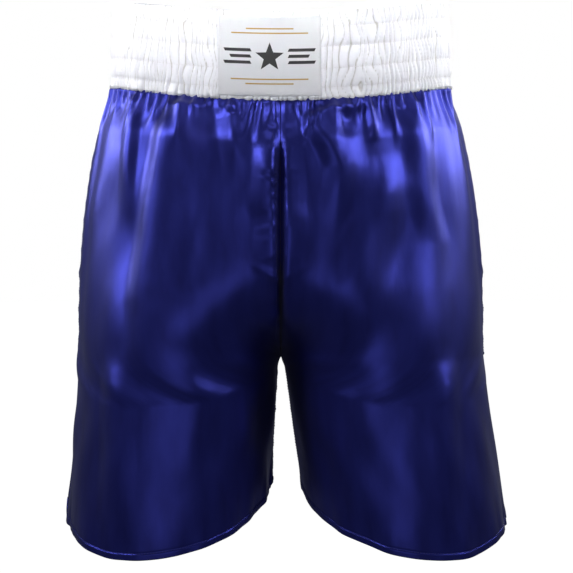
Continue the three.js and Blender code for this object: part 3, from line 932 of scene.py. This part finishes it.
def makeEmblem():
    form = emblem
    black, gold = [], []
    star = []
    for k in range(10):
        r = form["star"][k % 2]
        a = math.pi / 2 + k * math.pi / 5
        star.append((r * math.cos(a), form["starDrop"] + r * math.sin(a)))
    black.append(flatShape("emblem_star", star))
    for side in (-1, 1):
        for k, length in enumerate(form["barLengths"]):
            z = (1 - k) * form["barPitch"]
            near, far = side * form["barGap"], side * (form["barGap"] + length * mm)
            lean = form["barLean"] * side
            h = form["barHeight"] / 2
            bar = [(near + lean, z + h), (far + lean, z + h), (far - lean, z - h), (near - lean, z - h)]
            black.append(flatShape(f"emblem_bar_{side}_{k}", bar))
    for up in (-1, 1):
        for k, z in enumerate(form["ruleFromMiddle"]):
            half = form["ruleLength"] / 2 * (1 if k == 0 else 0.62)
            w = form["ruleWidth"] / 2
            rule = [(-half, up * z + w), (half, up * z + w), (half, up * z - w), (-half, up * z - w)]
            gold.append(flatShape(f"emblem_rule_{up}_{k}", rule))
    for name, parts, material in (("label_emblem_black", black, blackYarn),
                                  ("label_emblem_gold", gold, goldYarn)):
        bpy.ops.object.select_all(action="DESELECT")
        for part in parts:
            part.select_set(True)
        bpy.context.view_layer.objects.active = parts[0]
        bpy.ops.object.join()
        obj = bpy.context.object
        obj.name = name
        wrapOnLabel(obj, form["raised"])
        putMaterial(obj, material)
        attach(obj, "shorts")


def makeLabelStitching():
    form = labelForm
    inset = 2.2 * mm
    left, right = form["offCentre"] - form["width"] / 2 + inset, form["offCentre"] + form["width"] / 2 - inset
    top, bottom = form["drop"] + inset, form["drop"] + form["height"] - inset
    t = np.linspace(0, 1, 60)
    xs = np.concatenate([mix(left, right, t), np.full(60, right), mix(right, left, t), np.full(60, left)])
    drops = np.concatenate([np.full(60, top), mix(top, bottom, t), np.full(60, bottom), mix(bottom, top, t)])
    path = labelPoint(xs, drops, labelLift(xs, drops) - 0.3 * mm)
    outward = labelPoint(xs, drops, labelLift(xs, drops) + 5 * mm) - path
    small = {"length": 1.7 * mm, "radius": 0.24 * mm, "pitch": 2.2 * mm, "sink": 0.02 * mm}
    obj = sewAlong("front_label_stitches", path, outward, whiteThread, closed=True, form=small)
    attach(obj, "shorts")
    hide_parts("front_label_stitching")


makeWaistband()
makeBandStitching()
print("waistband made")
makeLabel()
makeEmblem()
makeLabelStitching()
print("label made")

# the satin hangs: a coarse copy of the folds is draped over a hidden form

drape = {"every": 3, "frames": 14, "formInset": 18 * mm, "grow": 0.004, "weld": 0.35 * mm, "hold": 0.12,
         "mass": 0.10, "bending": 6, "share": (0.3, 0.12)}


def cubicWeights(fine, coarse):
    # rows that turn coarse samples into fine ones along a smooth curve
    at = np.linspace(0, coarse - 1, fine)
    i = np.clip(at.astype(int), 0, coarse - 2)
    t = at - i
    weights = np.zeros((fine, coarse))
    parts = (-0.5 * t + t ** 2 - 0.5 * t ** 3, 1 - 2.5 * t ** 2 + 1.5 * t ** 3,
             0.5 * t + 2 * t ** 2 - 1.5 * t ** 3, -0.5 * t ** 2 + 0.5 * t ** 3)
    for k, part in enumerate(parts):
        np.add.at(weights, (np.arange(fine), np.clip(i + k - 1, 0, coarse - 1)), part)
    return weights


def hangSatin(cloths):
    keys = list(cloths)
    pick, coarse, bare = {}, {}, {}
    for key in keys:
        points, u, drop = cloths[key]
        rows = np.arange(0, points.shape[0], drape["every"])
        cols = np.arange(0, points.shape[1], drape["every"])
        pick[key] = (rows, cols)
        coarse[key] = points[np.ix_(rows, cols)]
        bare[key] = panelPoint(key[1], key[0], u[np.ix_(rows, cols)], drop[np.ix_(rows, cols)])
    flat = np.concatenate([coarse[k].reshape(-1, 3) for k in keys])
    start, faces, edge = {}, [], []
    count = 0
    for key in keys:
        r, c = coarse[key].shape[:2]
        start[key] = count
        f = gridFaces(r, c) + count
        faces.append(f if key[1] * (1 if key[0] == "front" else -1) > 0 else f[:, ::-1])
        grid = np.arange(r * c).reshape(r, c) + count
        edge += list(grid[:, 0]) + list(grid[:, -1])
        count += r * c
    # seams: edge points that meet are sewn into one
    same = np.arange(count)
    edge = np.array(edge)
    for i in edge:
        near = edge[np.linalg.norm(flat[edge] - flat[i], axis=1) < drape["weld"]]
        same[i] = min(same[i], near.min())
    for i in edge:
        same[i] = same[same[i]]
    kept, index = np.unique(same, return_inverse=True)
    faces = index[np.concatenate(faces)]
    faces = [f for f in faces.tolist() if len(set(f)) == 4]
    cloth = newMesh("draped_copy", flat[kept], faces)
    inside = []
    for key in keys:
        n = outwardNormals(bare[key], key[0])
        inside.append((bare[key] - n * drape["formInset"]).reshape(-1, 3))
    form = newMesh("hidden_form", np.concatenate(inside)[kept], faces)
    form.modifiers.new("form", "COLLISION")
    form.collision.thickness_outer = 1.0 * mm
    form.collision.cloth_friction = 8
    allDrop = np.concatenate([cloths[k][2][np.ix_(*pick[k])].ravel() for k in keys])[kept]
    hold = cloth.vertex_groups.new(name="hold")
    weights = np.where(allDrop < 0.0895, 1.0, mix(0.5, drape["hold"], smooth((allDrop - 0.0895) / 0.02)))
    for i, w in enumerate(weights):
        hold.add([i], float(w), "REPLACE")
    sim = cloth.modifiers.new("hang", "CLOTH")
    settings = sim.settings
    settings.quality = 6
    settings.mass = drape["mass"]
    settings.tension_stiffness = settings.compression_stiffness = 12
    settings.shear_stiffness = 3
    settings.bending_stiffness = drape["bending"]
    settings.air_damping = 2
    settings.vertex_group_mass = "hold"
    settings.pin_stiffness = 1
    settings.shrink_min = settings.shrink_max = -drape["grow"]
    sim.collision_settings.collision_quality = 3
    sim.collision_settings.distance_min = 1.2 * mm
    sim.collision_settings.use_self_collision = False
    scene = bpy.context.scene
    for frameNumber in range(1, drape["frames"] + 1):
        scene.frame_set(frameNumber)
    hung = cloth.evaluated_get(bpy.context.evaluated_depsgraph_get())
    co = np.empty(len(hung.data.vertices) * 3)
    hung.data.vertices.foreach_get("co", co)
    moved = (co.reshape(-1, 3) - flat[kept])[index]
    scene.frame_set(1)
    result = {}
    for key in keys:
        points, u, drop = cloths[key]
        r, c = coarse[key].shape[:2]
        shift = moved[start[key]:start[key] + r * c].reshape(r, c, 3)
        wr, wc = cubicWeights(points.shape[0], r), cubicWeights(points.shape[1], c)
        # a share of the sag is taken over: more above the crotch, less on the legs
        share = mix(*drape["share"], smooth((drop - 0.12) / 0.3))[..., None]
        result[key] = (points + share * np.einsum("ir,rcx,jc->ijx", wr, shift, wc), u, drop)
    print("moved up to", float(np.abs(moved).max()), "mean", float(np.linalg.norm(moved, axis=1).mean()))
    for obj in (cloth, form):
        bpy.data.objects.remove(obj, do_unlink=True)
    return result


cloths = {}
for side in (1, -1):
    for face in ("front", "back"):
        cloths[face, side] = clothGrid(side, face, panelGrid["across"], panelGrid["down"])
cloths = hangSatin(cloths)


for (face, side), (points, u, drop) in cloths.items():
    obj = makePanel(side, face, points, drop)
    putMaterial(obj, satin)
    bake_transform(obj)
    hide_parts(f"{face}_{sideNames[side]}_panel", f"{face}_{sideNames[side]}_panel_leg")
print("panels made")

# stitching on the satin

satinSeams = {"fromCentre": 8 * mm, "fromSide": 6 * mm, "fromInseam": 4 * mm, "fromHem": 7 * mm,
              "sewnFrom": 0.112, "centreEnds": 0.345, "hemSpan": (0.015, 0.985)}


def placeOn(at, known, values):
    # the three-part value at one distance, between values known at rising distances
    return [np.interp(at, known, values[:, k]) for k in range(3)]


def onCloth(key, edge, distance, low, high):
    # points and outward directions on a panel, a set distance from its middle or side edge
    points, u, drop = cloths[key]
    along = lengthAlong(points)
    wanted = np.full(len(points), distance) if edge == "middle" else along[:, -1] - distance
    normal = outwardNormals(points, key[0])
    path, out = (np.array([placeOn(at, *row) for at, *row in zip(wanted, along, field)])
                 for field in (points, normal))
    column = -1 if edge == "side" else 0
    inside = (drop[:, column] >= low) & (drop[:, column] <= high)
    return path[inside], out[inside]


def alongHem(key, distance):
    # points and outward directions on a panel, a set distance up from its hem
    points, u, drop = cloths[key]
    normal = outwardNormals(points, key[0])
    step = np.linalg.norm(np.diff(points, axis=0), axis=-1)
    up = np.concatenate([np.cumsum(step[::-1], axis=0)[::-1], np.zeros((1, u.shape[1]))], axis=0)[::-1]
    first, last = satinSeams["hemSpan"]
    keep = [j for j in range(u.shape[1]) if first <= u[-1, j] <= last]
    return [np.array([placeOn(distance, up[:, j], field[::-1, j]) for j in keep])
            for field in (points, normal)]


def sewSatin(name, path, out, node, body=None, blendTo=None):
    obj = sewAlong(name, path, out, blueThread)
    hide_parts(node)
    if blendTo:
        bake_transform(obj)
    else:
        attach(obj, body)


def sewAllSatin():
    form = satinSeams
    for face in ("front", "back"):
        path, out = onCloth((face, -1), "middle", form["fromCentre"], form["sewnFrom"], form["centreEnds"])
        sewSatin(f"{face}_centre_seam_stitches", path, out, f"{face}_centre_seam_stitching", body="shorts")
    for side, name in sideNames.items():
        leg = f"{name}_leg"
        path, out = onCloth(("front", side), "side", form["fromSide"], form["sewnFrom"], vent["top"] - 6 * mm)
        sewSatin(f"{name}_side_seam_stitches", path, out, f"{name}_side_seam_stitching", body="shorts")
        low = crotch["drop"] + 14 * mm
        path, out = onCloth(("front", side), "middle", form["fromInseam"], low, hem["lowest"])
        sewSatin(f"{name}_inseam_stitches", path, out, f"{name}_inseam_stitching", blendTo=leg)
        for face in ("front", "back"):
            path, out = alongHem((face, side), form["fromHem"])
            sewSatin(f"{face}_{name}_hem_stitches", path, out, f"{face}_{name}_hem_stitching", body=leg)


def makeBartack(name, side):
    # a close row of upright stitches across the top of the vent
    form = {"count": 11, "width": 10 * mm, "length": 3.4 * mm, "radius": 0.42 * mm}
    path, _ = onCloth(("front", side), "side", 0.5 * mm, vent["top"] - 6 * mm, vent["top"] + 2 * mm)
    middle = path.mean(0)
    verts, faces = oneStitch(form["length"], form["radius"])
    out = np.array([side, 0, 0.0])
    across = np.array([0, 1.0, 0])
    upward = np.array([0, 0, 1.0])
    points, allFaces = [], []
    for k in range(form["count"]):
        place = middle + across * mix(-0.5, 0.5, k / (form["count"] - 1)) * form["width"]
        place = place + out * (0.9 * mm - 0.35 * mm * (k % 2))
        points.append(place + verts[:, 0:1] * across + verts[:, 1:2] * out + verts[:, 2:3] * upward)
        allFaces += [[i + k * len(verts) for i in f] for f in faces]
    obj = newMesh(f"{name}_vent_bartack_stitches", np.concatenate(points), allFaces)
    putMaterial(obj, blueThread)
    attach(obj, "shorts")
    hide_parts(f"{name}_vent_bartack")


sewAllSatin()
for side, name in sideNames.items():
    makeBartack(name, side)
print("satin sewn")

# care label: a single blank ribbon, sewn by its upper edge inside the back of the waist

def makeCareLabel():
    lo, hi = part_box("care_label")
    form = {"thickness": 0.45 * mm, "bow": 1.2 * mm}
    middle = (lo + hi) / 2
    width, length = hi.x - lo.x, hi.z - lo.z
    bpy.ops.object.select_all(action="DESELECT")
    bpy.ops.mesh.primitive_grid_add(x_subdivisions=16, y_subdivisions=22, size=1)
    obj = bpy.context.object
    obj.name = "care_label_ribbon"
    bpy.ops.object.mode_set(mode="EDIT")
    bpy.ops.mesh.select_all(action="SELECT")
    bpy.ops.transform.resize(value=(width, length, 1))
    bpy.ops.object.mode_set(mode="OBJECT")
    for vert in obj.data.vertices:
        x, t = vert.co.x, 0.5 - vert.co.y / length  # t runs down from the sewn edge
        bow = form["bow"] * math.sin(math.pi * min(t, 1)) * math.cos(3 * x / width)
        vert.co = Vector((x, middle.y - bow, hi.z - t * length))
    obj.data.shade_smooth()
    solid = obj.modifiers.new("ribbon", "SOLIDIFY")
    solid.thickness = form["thickness"]
    bevel = obj.modifiers.new("edge", "BEVEL")
    bevel.width = 0.12 * mm
    bevel.segments = 2
    applyModifiers(obj)
    putMaterial(obj, ribbonCloth)
    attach(obj, "care_label")
    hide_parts("care_label")


makeCareLabel()
for name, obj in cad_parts.items():
    if name.startswith("elastic"):
        putMaterial(obj, elasticKnit)

# floor, light and camera

bpy.ops.mesh.primitive_plane_add(size=30, location=(0, 4, -0.95))
floor = bpy.context.object
floor.name = "studio_floor"
floorMaterial, nodes, links, shader = nodeMaterial("floor_paper")
shader.inputs["Base Color"].default_value = (0.02, 0.02, 0.02, 1)
shader.inputs["Emission Color"].default_value = (1, 1, 1, 1)
shader.inputs["Emission Strength"].default_value = 1.0
putMaterial(floor, floorMaterial)
floor.visible_glossy = False
floor.visible_diffuse = False


def softbox(name, where, aim, size, power, spread=180):
    light = bpy.data.lights.new(name, "AREA")
    light.shape = "RECTANGLE"
    light.size, light.size_y = size
    light.energy = power
    light.spread = math.radians(spread)
    obj = bpy.data.objects.new(name, light)
    bpy.context.collection.objects.link(obj)
    obj.location = where
    obj.rotation_euler = (Vector(aim) - Vector(where)).to_track_quat("-Z", "Y").to_euler()


softbox("key_softbox", (-2.3, -1.15, 0.8), (0, 0, -0.09), (0.8, 0.8), 1.25, 30)
softbox("fill_softbox", (2.3, -1.05, 0.8), (0.05, 0, -0.09), (0.7, 0.8), 0.88, 30)
softbox("front_softbox", (-0.3, -2.9, -0.72), (0, 0, -0.45), (2.0, 0.9), 5)
softbox("top_softbox", (0, -1.2, 1.8), (0, 0, -0.2), (1.4, 0.7), 7)
softbox("left_rim_softbox", (-1.9, 0.6, 0.5), (-0.1, 0, 0.0), (0.6, 0.6), 0.7, 26)
softbox("right_rim_softbox", (1.9, 0.6, 0.5), (0.1, 0, 0.0), (0.6, 0.6), 0.7, 26)
softbox("band_softbox", (0, -2.4, 0.5), (0, 0, 0.008), (0.4, 0.1), 0.27, 8)
softbox("rear_softbox", (0.9, 2.2, 1.0), (0, 0, -0.25), (1.0, 1.0), 40)

world = bpy.data.worlds.new("studio")
bpy.context.scene.world = world
world.use_nodes = True
nodes, links = world.node_tree.nodes, world.node_tree.links
lightPath = nodes.new("ShaderNodeLightPath")
seen, around = nodes["Background"], nodes.new("ShaderNodeBackground")
seen.inputs["Color"].default_value = (0.082, 0.086, 0.103, 1)
around.inputs["Color"].default_value = (1, 1, 1, 1)
mixer = nodes.new("ShaderNodeMixShader")
links.new(lightPath.outputs["Is Camera Ray"], mixer.inputs["Fac"])
links.new(seen.outputs["Background"], mixer.inputs[1])
links.new(around.outputs["Background"], mixer.inputs[2])
links.new(mixer.outputs["Shader"], nodes["World Output"].inputs["Surface"])
bpy.context.scene.view_settings.view_transform = "Standard"

view = {"distance": 2.2, "height": -0.24, "centre": (0.006, -0.297), "breadth": 0.607}
camera = bpy.data.objects.new("camera", bpy.data.cameras.new("camera"))
bpy.context.collection.objects.link(camera)
camera.location = (view["centre"][0], -view["distance"], view["height"])
aim = Vector((view["centre"][0], 0, view["centre"][1]))
camera.rotation_euler = (aim - camera.location).to_track_quat("-Z", "Y").to_euler()
camera.data.lens = camera.data.sensor_width * view["distance"] / view["breadth"]
bpy.context.scene.camera = camera
